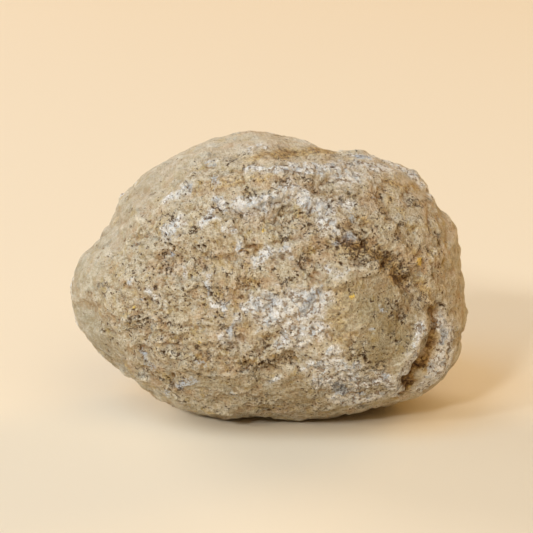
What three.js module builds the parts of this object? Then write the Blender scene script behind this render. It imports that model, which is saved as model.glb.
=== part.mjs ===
// A whole, uncracked geode: one rough, egg-shaped stone with a blunt nose, lying on its own worn flat.
//
// Millimetres. +Z is up and the flat lies on Z = 0. X runs from the nose (-X) to the heel (+X), and -Y is
// the ledged face. Every radius is measured from the heart, a point inside the stone above the origin.
//
// The stone is drawn in three layers, all of them distances from the heart: the broad egg form, then the
// swellings, ledges and grooves that stand on it, then the lumpy crust that covers everything.
import * as THREE from 'three';
import { mergeVertices } from 'three/addons/utils/BufferGeometryUtils.js';

// ---- Driving dimensions ------------------------------------------------------------------------------

const HEART_HEIGHT = 29.9;
const FRONT_DEPTH = 32.0;
const BACK_DEPTH = 31.0;
const FULLNESS = 2.2; // 2 is a plain ellipse; more fills the form out towards a box
const GIRDLE_LEAN = THREE.MathUtils.degToRad(14); // the widest outline leans back from upright by this much

// Radii of the girdle, the widest outline, at equal turns from the heel (+X) over the crown, the nose and the
// underside.
const GIRDLE_RADII = [
  43.7, 43.7, 40.7, 37.0, 32.4, 31.4, // heel, shoulder and the knobs behind the crown
  32.1, 32.6, 33.8, 35.1, 36.8, 37.9, // crown, and down to the nose
  43.4, 42.8, 39.1, 36.5, 33.9, 32.4, // nose and the lift of the underside
  31.3, 32.5, 35.5, 39.6, 45.0, 45.0, // underside, and up round the lower heel
];

// Swellings (height > 0) and hollows (height < 0). `at` is the spot, from the heart, and `width` is how far
// it spreads before it has mostly faded.
const SWELLINGS = [
  // three knobs along the back of the crown, and the notches between them
  { at: [21, 4, 29], width: 4.6, height: 1.5 },
  { at: [29, 3, 25], width: 4.2, height: 1.2 },
  { at: [34, 1, 22], width: 3.8, height: 1.3 },
  { at: [15, 3, 29], width: 3.2, height: -0.8 },
  { at: [25.5, 3, 27], width: 2.6, height: -0.8 },
  { at: [37, 0, 17], width: 4.0, height: -1.5 },
  // the stained trough behind the crown slab
  { at: [6, -9, 30], width: 6.0, height: -0.9 },
  // the smooth block on the right of the face, and its lower corner
  { at: [22, -29, -1], width: 11.0, height: 1.5 },
  { at: [30, -25, -10], width: 6.5, height: 0.8 },
  // the low granular lobe under the heel
  { at: [39, -16, -13], width: 9.0, height: 1.2 },
  // broken pockets in the face
  { at: [-15, -28, 13], width: 3.0, height: -1.6 },
  { at: [-3, -29, 13], width: 2.8, height: -1.2 },
  { at: [-21, -25, 13], width: 2.6, height: -1.1 },
  { at: [4, -24, 21], width: 2.8, height: -1.1 },
  { at: [-8, -31, -7], width: 2.6, height: -1.0 },
  { at: [4, -31, -9], width: 2.6, height: -1.0 },
  { at: [-26, -26, -8], width: 3.0, height: -1.1 },
  { at: [-37, -17, -3], width: 3.0, height: -1.0 },
  { at: [-29, -12, 18], width: 3.6, height: -0.9 },
  // the far side: two broad cheeks with a dent between them
  { at: [-20, 24, 8], width: 14.0, height: 1.4 },
  { at: [24, 24, -4], width: 13.0, height: 1.6 },
  { at: [3, 29, 12], width: 10.0, height: -1.8 },
  { at: [-4, 28, -14], width: 9.0, height: -1.0 },
  { at: [40, 12, 8], width: 8.0, height: -1.2 },
  { at: [-30, 16, -6], width: 4.0, height: -1.2 },
  { at: [12, 22, 20], width: 4.5, height: 1.0 },
  // the crown and the underside
  { at: [-16, 2, 29], width: 8.0, height: -0.8 },
  { at: [-24, 6, -22], width: 6.0, height: -1.0 },
  { at: [22, -6, -26], width: 5.0, height: -1.0 },
  { at: [16, 14, -24], width: 6.0, height: 0.9 },
];

// Ledges (height > 0) and grooves (height < 0) along a line of spots. `left` and `right` are how far the form
// fades on each side of the line, walking it as seen from outside, so a short side is a steep one.
const LEDGES = [
  // the crusted shelf
  {
    line: [[-17, -23, 20], [-9, -23, 23], [-1, -22, 24], [7, -22, 23], [14, -24, 20]],
    height: 1.4, left: 7, right: 1.8,
  },
  // the shadowed undercut below the shelf
  {
    line: [[-11, -24, 20], [-3, -25, 20], [4, -25, 20], [12, -25, 18]],
    height: -1.0, left: 1.8, right: 4,
  },
  // the edge of the crown slab
  {
    line: [[-16, -22, 22], [-4, -21, 25], [5, -16, 28], [17, -7, 29]],
    height: 1.0, left: 1.8, right: 6,
  },
  // the middle ledge across the face
  {
    line: [[-22, -26, 11], [-15, -27, 15], [-3, -28, 16], [5, -29, 14], [14, -28, 13]],
    height: 1.0, left: 6, right: 1.8,
  },
  // the hollow above the block
  {
    line: [[15, -27, 17], [21, -26, 13], [26, -25, 8], [31, -24, 4], [35, -22, 0]],
    height: -1.8, left: 4.5, right: 2.4,
  },
  // the block's upper rim
  {
    line: [[12, -30, 7], [16, -29, 10], [21, -27, 10], [27, -26, 5], [31, -25, 1]],
    height: 0.8, left: 1.8, right: 4,
  },
  // the rim round the block's lower right
  {
    line: [[33, -23, 0], [33, -24, -4], [31, -26, -9], [28, -25, -15], [23, -22, -20]],
    height: 0.9, left: 2.2, right: 5,
  },
  // the groove that this rim stands over
  {
    line: [[37, -20, 2], [37, -21, -4], [35, -22, -10], [32, -21, -16], [27, -18, -22]],
    height: -1.8, left: 3.6, right: 2.8,
  },
  // low ledges and grooves across the lower face
  {
    line: [[2, -31, -14], [9, -30, -12], [16, -30, -10], [23, -28, -11]],
    height: 0.8, left: 1.8, right: 5,
  },
  {
    line: [[-6, -31, -11], [1, -31, -12], [5, -31, -9], [10, -31, -10]],
    height: -0.8, left: 1.8, right: 1.8,
  },
  {
    line: [[-23, -28, 1], [-25, -26, -4], [-26, -25, -8], [-28, -21, -13]],
    height: -0.9, left: 1.8, right: 4,
  },
  // a seam over the top of the heel
  {
    line: [[23, -10, 26], [26, -17, 21], [30, -21, 15], [36, -20, 8]],
    height: -0.8, left: 3, right: 2,
  },
  // two ledges and a groove round the far side
  {
    line: [[-30, 14, 14], [-14, 24, 20], [4, 27, 18], [20, 25, 15], [34, 16, 12]],
    height: 1.2, left: 7, right: 1.8,
  },
  {
    line: [[34, 8, 22], [24, 18, 20], [18, 24, 12], [20, 26, 2]],
    height: -1.3, left: 5, right: 2,
  },
  {
    line: [[-26, 20, -8], [-10, 28, -6], [6, 30, -8], [20, 26, -12]],
    height: -1.2, left: 2, right: 6,
  },
  // a low ledge over the crown, and two seams under the belly
  {
    line: [[-24, -4, 25], [-12, 6, 30], [2, 12, 29], [14, 14, 26]],
    height: 0.9, left: 1.8, right: 6,
  },
  {
    line: [[-34, -6, -16], [-24, -14, -22], [-12, -16, -26], [2, -18, -26]],
    height: -0.8, left: 1.8, right: 5,
  },
  {
    line: [[34, 8, -18], [22, 16, -22], [8, 20, -24], [-6, 18, -25]],
    height: 0.9, left: 5, right: 1.8,
  },
];

// The crust: rounded lumps with creases between them. Each row is one size of lump, and lumps lie a little
// flattened, along the beds of the rock.
const BEDDING = new THREE.Vector3(1, 1, 1.5);
const CRUST = [
  { size: 21, height: 1.3 },
  { size: 10, height: 1.1 },
  { size: 5.5, height: 0.9 },
];

const LEDGE_STEPS = 20; // short straight steps that stand for each ledge's curve
const END_TAPER = 0.25; // share of a ledge's length over which each end fades out
const FLAT_BLEND = 1.2; // radius of the worn edge between the flat and the sides
const GRID = 28; // facets along each side of the six patches that cover the stone

// ---- The broad form ----------------------------------------------------------------------------------

const AWAY = new THREE.Vector3(0, Math.cos(GIRDLE_LEAN), -Math.sin(GIRDLE_LEAN));
const UPWARD = new THREE.Vector3(0, Math.sin(GIRDLE_LEAN), Math.cos(GIRDLE_LEAN));

// The girdle's radius at a turn in radians: a smooth closed curve through GIRDLE_RADII.
function girdleRadius(turn) {
  const count = GIRDLE_RADII.length;
  const place = (turn / (2 * Math.PI) + 1) * count;
  const i = Math.floor(place);
  const f = place - i;
  const [a, b, c, d] = [-1, 0, 1, 2].map((k) => GIRDLE_RADII[(i + k) % count]);
  const bend = (2 * a - 5 * b + 4 * c - d) * f ** 2 + (3 * b - a - 3 * c + d) * f ** 3;
  return 0.5 * (2 * b + (c - a) * f + bend);
}

// Distance from the heart to the broad form in a direction: a superellipse between girdle and depth.
function eggRadius(direction) {
  const away = direction.dot(AWAY);
  const upward = direction.dot(UPWARD);
  const outward = Math.hypot(direction.x, upward);
  const girdle = outward / girdleRadius(Math.atan2(upward, direction.x));
  const depth = Math.abs(away) / (away < 0 ? FRONT_DEPTH : BACK_DEPTH);
  return (girdle ** FULLNESS + depth ** FULLNESS) ** (-1 / FULLNESS);
}

// The spot on the broad form that lies towards a point.
function onEgg([x, y, z]) {
  const direction = new THREE.Vector3(x, y, z).normalize();
  return direction.multiplyScalar(eggRadius(direction));
}

// ---- Swellings, ledges and grooves -------------------------------------------------------------------

const swellings = SWELLINGS.map((swelling) => ({ ...swelling, spot: onEgg(swelling.at) }));
const ledges = LEDGES.map((ledge) => ({ ...ledge, spots: smoothLine(ledge.line) }));

// A smooth curve through the spots, as many short straight steps.
function smoothLine(line) {
  return new THREE.CatmullRomCurve3(line.map(onEgg), false, 'catmullrom').getPoints(LEDGE_STEPS);
}

function swellingHeight(point) {
  const bell = ({ spot, width }) => Math.exp(-point.distanceToSquared(spot) / width ** 2);
  return swellings.reduce((sum, swelling) => sum + swelling.height * bell(swelling), 0);
}

// The spot on a ledge's line that lies nearest to a point, pushed out to the point's own distance from the
// heart: how far off it is, on which side of the line the point lies, and how far along the line the spot is.
function nearestOnLine(point, spots) {
  let nearest = { distance: Infinity };
  for (let i = 0; i + 1 < spots.length; i += 1) {
    const along = spots[i + 1].clone().sub(spots[i]);
    const start = point.clone().sub(spots[i]);
    const share = THREE.MathUtils.clamp(start.dot(along) / along.lengthSq(), 0, 1);
    const spot = spots[i].clone().addScaledVector(along, share).setLength(point.length());
    const offset = point.clone().sub(spot);
    if (offset.length() < nearest.distance) {
      const isLeft = point.clone().cross(along).dot(offset) > 0;
      nearest = { distance: offset.length(), isLeft, travelled: (i + share) / (spots.length - 1) };
    }
  }
  return nearest;
}

// Full height on the line, a bell-shaped fade to each side, and a taper towards each end of the line.
function ledgeHeight(point, { spots, height, left, right }) {
  const { distance, isLeft, travelled } = nearestOnLine(point, spots);
  const { smoothstep } = THREE.MathUtils;
  const taper = smoothstep(travelled, 0, END_TAPER) * smoothstep(1 - travelled, 0, END_TAPER);
  return height * taper * Math.exp(-((distance / (isLeft ? left : right)) ** 2));
}

// ---- The crust ---------------------------------------------------------------------------------------

// A repeatable whole number, 0 to 2^32 - 1, for each corner of a unit lattice.
function cornerHash(i, j, k) {
  let h = Math.imul(i, 374761393) ^ Math.imul(j, 668265263) ^ Math.imul(k, 1442695041);
  h = Math.imul(h ^ (h >>> 13), 1274126177);
  return (h ^ (h >>> 16)) >>> 0;
}

// Gradient noise, about -1 to 1: each lattice corner pulls towards its own slope, and eight corners blend.
function gradientNoise(x, y, z) {
  const [i, j, k] = [Math.floor(x), Math.floor(y), Math.floor(z)];
  const ease = (t) => t * t * t * (t * (t * 6 - 15) + 10);
  let sum = 0;
  for (let corner = 0; corner < 8; corner += 1) {
    const [a, b, c] = [corner & 1, (corner >> 1) & 1, corner >> 2];
    const [u, v, w] = [x - i - a, y - j - b, z - k - c];
    const h = cornerHash(i + a, j + b, k + c);
    const slope = [h & 1023, (h >>> 10) & 1023, (h >>> 20) & 1023].map((n) => n / 511.5 - 1);
    const weight = ease(1 - Math.abs(u)) * ease(1 - Math.abs(v)) * ease(1 - Math.abs(w));
    sum += weight * (slope[0] * u + slope[1] * v + slope[2] * w);
  }
  return sum * 1.6;
}

// Lumps are the folded noise: rounded where it swings wide, and creased where it passes through nought.
function crustHeight(point) {
  return CRUST.reduce((sum, { size, height }, layer) => {
    const place = point.clone().multiply(BEDDING).divideScalar(size);
    const shift = 17.3 * (layer + 1);
    return sum + height * (Math.abs(gradientNoise(place.x + shift, place.y - shift, place.z + shift)) - 0.3);
  }, 0);
}

// ---- The stone ---------------------------------------------------------------------------------------

// The lower of two lengths, rounded over where they are within `blend` of each other.
function lowerOf(a, b, blend) {
  const overlap = Math.max(blend - Math.abs(a - b), 0) / blend;
  return Math.min(a, b) - (overlap * overlap * blend) / 4;
}

// Distance from the heart to the finished surface, cut off level by the flat.
function stoneRadius(direction) {
  const point = direction.clone().multiplyScalar(eggRadius(direction));
  const ledgesHeight = ledges.reduce((sum, ledge) => sum + ledgeHeight(point, ledge), 0);
  const radius = point.length() + swellingHeight(point) + ledgesHeight + crustHeight(point);
  if (direction.z >= 0) return radius;
  const toFlat = HEART_HEIGHT / -direction.z;
  return lowerOf(radius, toFlat, FLAT_BLEND);
}

// Six square patches, blown up from a cube so that the facets stay even, then pushed out to the surface.
function stoneGeometry() {
  const box = new THREE.BoxGeometry(2, 2, 2, GRID, GRID, GRID);
  box.deleteAttribute('normal');
  box.deleteAttribute('uv');
  const geometry = mergeVertices(box);
  const places = geometry.getAttribute('position');
  const even = (t) => Math.tan((t * Math.PI) / 4);
  const direction = new THREE.Vector3();
  for (let i = 0; i < places.count; i += 1) {
    direction.fromBufferAttribute(places, i);
    direction.set(even(direction.x), even(direction.y), even(direction.z)).normalize();
    direction.multiplyScalar(stoneRadius(direction));
    places.setXYZ(i, direction.x, direction.y, Math.max(direction.z + HEART_HEIGHT, 0));
  }
  geometry.computeVertexNormals();
  return geometry;
}

const rind = new THREE.MeshStandardMaterial({ color: 0xb59f80, roughness: 0.95, metalness: 0 });

const geode = new THREE.Mesh(stoneGeometry(), rind);
geode.name = 'geode';

const part = new THREE.Group();
part.add(geode);

export default part;
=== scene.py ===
# %% [markdown]
# # A whole geode, unopened
#
# A geode that nobody has cracked yet is a plain, rough stone: an egg of tan rock with a chalky crust. Nothing
# on it is straight or smooth, so its looks come from relief at many sizes, from ledges as long as a finger
# down to pits finer than a grain of sand, and from stains that follow that relief.
#
# This lesson makes the relief as one surface worked out with numpy, down to about half a millimetre. The
# finer grain and all the colours come from one material. The frame that is loaded first holds the stone's
# solid, with its place and size; the finished surface stands in for it, in the same place.

# %% Load the frame
import math

import bpy
import numpy as np
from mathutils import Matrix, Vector


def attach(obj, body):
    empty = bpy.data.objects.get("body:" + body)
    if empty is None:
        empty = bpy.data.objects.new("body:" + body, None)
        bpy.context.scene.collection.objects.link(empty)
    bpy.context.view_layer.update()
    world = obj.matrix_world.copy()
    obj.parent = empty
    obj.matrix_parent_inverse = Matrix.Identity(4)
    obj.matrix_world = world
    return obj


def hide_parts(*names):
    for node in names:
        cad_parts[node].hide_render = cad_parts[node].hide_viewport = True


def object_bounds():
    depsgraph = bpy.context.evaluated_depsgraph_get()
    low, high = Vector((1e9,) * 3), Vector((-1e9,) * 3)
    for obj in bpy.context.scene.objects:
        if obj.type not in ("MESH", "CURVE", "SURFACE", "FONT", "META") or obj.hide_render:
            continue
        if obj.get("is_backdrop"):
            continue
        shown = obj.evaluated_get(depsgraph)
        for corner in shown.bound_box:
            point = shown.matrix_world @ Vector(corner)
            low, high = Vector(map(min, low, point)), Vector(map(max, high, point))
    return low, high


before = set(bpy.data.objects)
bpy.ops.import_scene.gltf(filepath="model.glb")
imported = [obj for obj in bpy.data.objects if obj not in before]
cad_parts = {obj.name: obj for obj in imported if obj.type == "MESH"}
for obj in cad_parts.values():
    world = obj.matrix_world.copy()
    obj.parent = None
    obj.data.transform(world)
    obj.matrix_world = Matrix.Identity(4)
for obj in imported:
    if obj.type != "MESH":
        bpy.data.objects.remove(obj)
solid_low, solid_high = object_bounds()
MM = 0.001
print("solid, in mm:", [round(side / MM, 1) for side in solid_high - solid_low])

# %% [markdown]
# ## The camera
#
# The stone is seen from a little above, through a long lens. A short lens close up would also fill the
# picture, but it would swell the near face and hide the sides. The camera is placed from the heart, a point
# inside the stone that everything here is measured from.

# %% Place the camera
HEART_HEIGHT = 29.9
ELEVATION = math.radians(14)
DISTANCE = 450.0
LENS = 136.5
SENSOR = 36.0
PICTURE_WIDTH = 533
HEART_PIXEL = (266.0, 278.0)

look = np.array([0, math.cos(ELEVATION), -math.sin(ELEVATION)])
rise = np.array([0, math.sin(ELEVATION), math.cos(ELEVATION)])
run = np.array([1.0, 0, 0])
pixels_at_one = LENS / SENSOR * PICTURE_WIDTH
across, down = (np.array(HEART_PIXEL) - PICTURE_WIDTH / 2) / pixels_at_one
heart = np.array([0, 0, HEART_HEIGHT])
eye = heart - DISTANCE * (look + across * run - down * rise)


def added(name, data):
    """A new object in the scene."""
    made = bpy.data.objects.new(name, data)
    bpy.context.scene.collection.objects.link(made)
    return made


camera = added("camera", bpy.data.cameras.new("camera"))
camera.data.lens = LENS
camera.data.sensor_width = SENSOR
camera.data.clip_start = 0.01
camera.location = eye * MM
camera.rotation_euler = Vector(look).to_track_quat("-Z", "Y").to_euler()
bpy.context.scene.camera = camera
print("camera, in mm:", eye.round(1))

# %% [markdown]
# ## The broad form
#
# Under its lumps the stone is an egg. An ellipsoid would be the quick answer, but this egg has a blunt nose,
# a flat-sided heel and a crown that falls away in a slope, so its widest outline, the girdle, is a closed
# curve through two dozen radii. Front and back then bulge from the girdle by a depth each.
#
# Everything is a distance from the heart. That suits a pebble-like thing: every direction meets the surface
# just once, so one formula of a direction is the whole shape.

# %% The egg as a distance from the heart
FRONT_DEPTH = 32.0
BACK_DEPTH = 31.0
FULLNESS = 2.2
GIRDLE_LEAN = math.radians(14)
GIRDLE_RADII = np.array([
    43.7, 43.7, 40.7, 37.0, 32.4, 31.4,  # heel, shoulder and the knobs behind the crown
    32.1, 32.6, 33.8, 35.1, 36.8, 37.9,  # crown, and down to the nose
    43.4, 42.8, 39.1, 36.5, 33.9, 32.4,  # nose and the lift of the underside
    31.3, 32.5, 35.5, 39.6, 45.0, 45.0,  # underside, and up round the lower heel
])


def catmull_rom(a, b, c, d, f):
    """The smooth curve from b (f = 0) to c (f = 1), whose slopes there point from a to c and from b to d."""
    bend = (2 * a - 5 * b + 4 * c - d) * f**2 + (3 * b - a - 3 * c + d) * f**3
    return 0.5 * (2 * b + (c - a) * f + bend)


def girdle_radius(turn):
    """The girdle's radius at a turn in radians: a closed Catmull-Rom curve through GIRDLE_RADII."""
    count = len(GIRDLE_RADII)
    place = turn / (2 * np.pi) % 1 * count
    i = np.floor(place).astype(int)
    a, b, c, d = (GIRDLE_RADII[(i + step) % count] for step in (-1, 0, 1, 2))
    return catmull_rom(a, b, c, d, place - i)


def egg_radius(direction):
    """A superellipse: (outward / girdle) ** n + (away / depth) ** n = 1 on the surface, with n = FULLNESS."""
    away = direction @ [0, math.cos(GIRDLE_LEAN), -math.sin(GIRDLE_LEAN)]
    upward = direction @ [0, math.sin(GIRDLE_LEAN), math.cos(GIRDLE_LEAN)]
    girdle = np.hypot(direction[..., 0], upward) / girdle_radius(np.arctan2(upward, direction[..., 0]))
    depth = np.abs(away) / np.where(away < 0, FRONT_DEPTH, BACK_DEPTH)
    return (girdle**FULLNESS + depth**FULLNESS) ** (-1 / FULLNESS)


def length(vectors):
    """How long each vector is."""
    return np.linalg.norm(vectors, axis=-1)


def unit(vectors):
    """Each vector divided by its own length."""
    return vectors / length(vectors)[..., None]


def on_egg(spots):
    """The spots on the egg that lie towards the given spots, seen from the heart."""
    directions = unit(np.asarray(spots, float))
    return directions * egg_radius(directions)[..., None]


SIGHT_REACH = 60.0  # how far before and past the heart a line of sight is followed
SIGHT_STEP = 0.05


def seen_on_egg(place):
    """Where the line of sight through a place in the picture meets the egg, or else passes nearest to it.

    The place is across and down from the picture's top left corner, in its pixels.
    """
    aside, below = (np.array(place) - PICTURE_WIDTH / 2) / pixels_at_one
    way = unit(look + aside * run - below * rise)
    steps = np.arange(DISTANCE - SIGHT_REACH, DISTANCE + SIGHT_REACH, SIGHT_STEP)
    line = eye - heart + steps[:, None] * way
    outside = length(line) - egg_radius(unit(line))
    return line[(outside < 0).argmax() if (outside < 0).any() else outside.argmin()]


def from_heart(spots):
    """Spots from the heart: three numbers are taken as they are, and two are a place in the picture."""
    return np.array([seen_on_egg(spot) if len(spot) == 2 else spot for spot in spots], float)


print("egg, nose and heel, in mm:", egg_radius(np.array([[-1.0, 0, 0], [1.0, 0, 0]])).round(1))

# %% [markdown]
# ## An even grid over the stone
#
# A globe's grid of longitude and latitude would crowd its points at the poles. This stone is wrapped in six
# square patches instead, like a cube blown up to a ball. Each patch is a grid of two numbers
# from -1 to 1, and the tangent of an eighth of a turn times each keeps the steps even.
#
# Neighbouring patches share their edge points. Every point has a place on a lattice of whole numbers, so the
# shared ones are found exactly, and the surface closes with no seam.

# %% Blow a cube up to a ball
GRID = 128
CROWDING = 0.3  # draws the points together on the side that faces the camera


def ball_grid(steps):
    """Directions of the points, and each square's four corners, of six steps-by-steps patches, merged."""
    s, t = np.meshgrid(np.arange(steps + 1), np.arange(steps + 1), indexing="ij")
    i, j = np.meshgrid(np.arange(steps), np.arange(steps), indexing="ij")
    corner = i * (steps + 1) + j
    square = np.stack([corner, corner + steps + 1, corner + steps + 2, corner + 1], -1).reshape(-1, 4)
    lattice, squares = [], []
    for axis in range(3):
        for side in (0, steps):
            patch = np.empty((*s.shape, 3), int)
            patch[..., axis] = side
            patch[..., (axis + 1) % 3] = s
            patch[..., (axis + 2) % 3] = t
            squares.append((square if side else square[:, ::-1]) + len(lattice) * s.size)
            lattice.append(patch.reshape(-1, 3))
    points, where = np.unique(np.concatenate(lattice), axis=0, return_inverse=True)
    directions = unit(np.tan((points * 2 / steps - 1) * np.pi / 4))
    return directions, where.reshape(-1)[np.concatenate(squares)]


directions, squares = ball_grid(GRID)
directions = unit(directions - CROWDING * look)
print(len(directions), "points and", len(squares), "squares")

# %% [markdown]
# ## Swellings, ledges and grooves
#
# The forms that can be named are put on one by one: knobs behind the crown, a shelf of crust with an
# undercut, a smooth block with a groove round its foot. Sculpting them would work too, but a list of spots
# and heights can be read and changed.
#
# A swelling is a bell round one spot. A ledge is a bell across a line of spots with a steep side and a slow
# side.

# %% Measure how far each point is from a line
LEDGE_STEPS = 20
END_TAPER = 0.25


def smooth_line(spots):
    """A Catmull-Rom curve through spots on the egg, as LEDGE_STEPS straight steps."""
    p = on_egg(spots)
    p = np.concatenate([[2 * p[0] - p[1]], p, [2 * p[-1] - p[-2]]])
    place = np.linspace(0, len(p) - 3, LEDGE_STEPS + 1)
    i = np.minimum(place.astype(int), len(p) - 4)
    return catmull_rom(p[i], p[i + 1], p[i + 2], p[i + 3], (place - i)[:, None])


def smoothstep(x, low, high):
    """0 below low, 1 above high, and 3 f^2 - 2 f^3 of the share f of the way between."""
    f = np.clip((x - low) / (high - low), 0, 1)
    return f * f * (3 - 2 * f)


def nearest_on_line(points, line):
    """How far each point is from a line pushed out to its height, if it is left of it, and how far along.

    For each straight step: drop a perpendicular, keep its foot within the step, push the foot out to the
    point's own distance from the heart, and measure. The nearest of all the steps is kept.
    """
    height = length(points)[:, None]
    distance = np.full(len(points), np.inf)
    left = np.zeros(len(points), bool)
    travelled = np.zeros(len(points))
    for step, (start, end) in enumerate(zip(line[:-1], line[1:])):
        along = end - start
        share = np.clip((points - start) @ along / (along @ along), 0, 1)
        offset = points - unit(start + share[:, None] * along) * height
        gap = length(offset)
        nearer = gap < distance
        side = np.einsum("ij,ij->i", np.cross(points, along), offset)
        distance = np.where(nearer, gap, distance)
        left = np.where(nearer, side > 0, left)
        travelled = np.where(nearer, (step + share) / (len(line) - 1), travelled)
    return distance, left, travelled


FADED = 2.6  # widths past which a bell has all but faded


def near_line(points, line, width):
    """Which points lie in the ball round a line that a bell of this width can reach."""
    middle = line.mean(0)
    return length(points - middle) < length(line - middle).max() + FADED * width


def ledge(points, height, left, right, *spots):
    """Height on the line, a bell to each side of it, and a taper towards both ends."""
    line = smooth_line(from_heart(spots))
    near = near_line(points, line, max(left, right))
    distance, is_left, travelled = nearest_on_line(points[near], line)
    taper = smoothstep(travelled, 0, END_TAPER) * smoothstep(1 - travelled, 0, END_TAPER)
    raised = np.zeros(len(points))
    raised[near] = height * taper * np.exp(-((distance / np.where(is_left, left, right)) ** 2))
    return raised


def swelling(points, spot, width, height):
    """A bell round one spot."""
    return height * np.exp(-((length(points - on_egg(spot)) / width) ** 2))


# %% [markdown]
# Separate lumps joined on would show their joins. Heights added to one surface run into each other, as the
# real forms do. The far side has forms of its own, of the same kinds.

# %% The swellings: spot, width, height
SWELLINGS = [
    # three knobs along the back of the crown, and the notches between them
    ((21, 4, 29), 4.6, 1.5), ((29, 3, 25), 4.2, 1.2), ((34, 1, 22), 3.8, 1.3), ((15, 3, 29), 3.2, -0.8),
    ((25.5, 3, 27), 2.6, -0.8), ((37, 0, 17), 4.0, -1.5),
    # the stained trough behind the crown slab
    ((6, -9, 30), 6.0, -0.9),
    # the smooth block on the right of the face, its lower corner, and the low lobe under the heel
    ((22, -29, -1), 11.0, 1.5), ((30, -25, -10), 6.5, 0.8), ((39, -16, -13), 9.0, 1.2),
    # broken pockets in the face
    ((-15, -28, 13), 3.0, -1.6), ((-3, -29, 13), 2.8, -1.2), ((-21, -25, 13), 2.6, -1.1),
    ((4, -24, 21), 2.8, -1.1), ((-8, -31, -7), 2.6, -1.0), ((4, -31, -9), 2.6, -1.0),
    ((-26, -26, -8), 3.0, -1.1), ((-37, -17, -3), 3.0, -1.0), ((-29, -12, 18), 3.6, -0.9),
    # the far side: two broad cheeks with a dent between them
    ((-20, 24, 8), 14.0, 1.4), ((24, 24, -4), 13.0, 1.6), ((3, 29, 12), 10.0, -1.8),
    ((-4, 28, -14), 9.0, -1.0), ((40, 12, 8), 8.0, -1.2), ((-30, 16, -6), 4.0, -1.2),
    ((12, 22, 20), 4.5, 1.0),
    # the brow of the nose, and the crown and the underside
    ((-43, 0, 4), 5.0, -2.0), ((-39, 0, 8), 4.0, -0.9), ((-16, 2, 29), 8.0, -0.8),
    ((-24, 6, -22), 6.0, -1.0), ((22, -6, -26), 5.0, -1.0), ((16, 14, -24), 6.0, 0.9),
]
print(len(SWELLINGS), "swellings")

# %% The ledges and grooves: height, how far each side fades, spots
LEDGES = [
    # the crusted shelf, the shadowed undercut below it, and the edge of the crown slab
    (1.4, 7, 1.8, (-17, -23, 20), (-9, -23, 23), (-1, -22, 24), (7, -22, 23), (14, -24, 20)),
    (-1.0, 1.8, 4, (-11, -24, 20), (-3, -25, 20), (4, -25, 20), (12, -25, 18)),
    (1.0, 1.8, 6, (-16, -22, 22), (-4, -21, 25), (5, -16, 28), (17, -7, 29)),
    # the middle ledge across the face
    (1.0, 6, 1.8, (-22, -26, 11), (-15, -27, 15), (-3, -28, 16), (5, -29, 14), (14, -28, 13)),
    # the hollow above the block, and the block's upper rim
    (-1.8, 4.5, 2.4, (15, -27, 17), (21, -26, 13), (26, -25, 8), (31, -24, 4), (35, -22, 0)),
    (0.8, 1.8, 4, (12, -30, 7), (16, -29, 10), (21, -27, 10), (27, -26, 5), (31, -25, 1)),
    # the rim round the block's lower right, and the groove that this rim stands over
    (0.9, 2.2, 5, (33, -23, 0), (33, -24, -4), (31, -26, -9), (28, -25, -15), (23, -22, -20)),
    (-1.8, 3.6, 2.8, (37, -20, 2), (37, -21, -4), (35, -22, -10), (32, -21, -16), (27, -18, -22)),
    # low ledges and grooves across the lower face
    (0.8, 1.8, 5, (2, -31, -14), (9, -30, -12), (16, -30, -10), (23, -28, -11)),
    (-0.4, 1.8, 1.8, (-6, -31, -11), (1, -31, -12), (5, -31, -9), (10, -31, -10)),
    (-0.9, 1.8, 4, (-23, -28, 1), (-25, -26, -4), (-26, -25, -8), (-28, -21, -13)),
    # a seam over the top of the heel
    (-0.8, 3, 2, (23, -10, 26), (26, -17, 21), (30, -21, 15), (36, -20, 8)),
    # two ledges and a groove round the far side
    (1.2, 7, 1.8, (-30, 14, 14), (-14, 24, 20), (4, 27, 18), (20, 25, 15), (34, 16, 12)),
    (-1.3, 5, 2, (34, 8, 22), (24, 18, 20), (18, 24, 12), (20, 26, 2)),
    (-1.2, 2, 6, (-26, 20, -8), (-10, 28, -6), (6, 30, -8), (20, 26, -12)),
    # a low ledge over the crown, and two seams under the belly
    (0.9, 1.8, 6, (-24, -4, 25), (-12, 6, 30), (2, 12, 29), (14, 14, 26)),
    (-0.8, 1.8, 5, (-34, -6, -16), (-24, -14, -22), (-12, -16, -26), (2, -18, -26)),
    (0.9, 5, 1.8, (34, 8, -18), (22, 16, -22), (8, 20, -24), (-6, 18, -25)),
]

egg = directions * egg_radius(directions)[:, None]
forms = sum(swelling(egg, *row) for row in SWELLINGS) + sum(ledge(egg, *row) for row in LEDGES)
print("forms stand", forms.min().round(1), "to", forms.max().round(1), "mm off the egg")

# %% [markdown]
# ## The crust
#
# Weathered rock is lumpy at every size. Gradient noise gives that: a lattice of random slopes, blended
# smoothly between. Folding it with an absolute value turns it into rounded lumps with creases between them,
# as a crumbly crust has. Sums of it at a few sizes make the coarse lumps here and the crumbs further down.

# %% Gradient noise
def corner_hash(i, j, k):
    """A repeatable whole number for each lattice corner, by multiplying and mixing 32-bit numbers."""
    i, j, k = (corner.astype(np.int64).astype(np.uint32) for corner in (i, j, k))
    h = i * np.uint32(374761393) ^ j * np.uint32(668265263) ^ k * np.uint32(1442695041)
    h = (h ^ (h >> np.uint32(13))) * np.uint32(1274126177)
    return h ^ (h >> np.uint32(16))


NOISE_HEIGHT = 1.6


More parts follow.
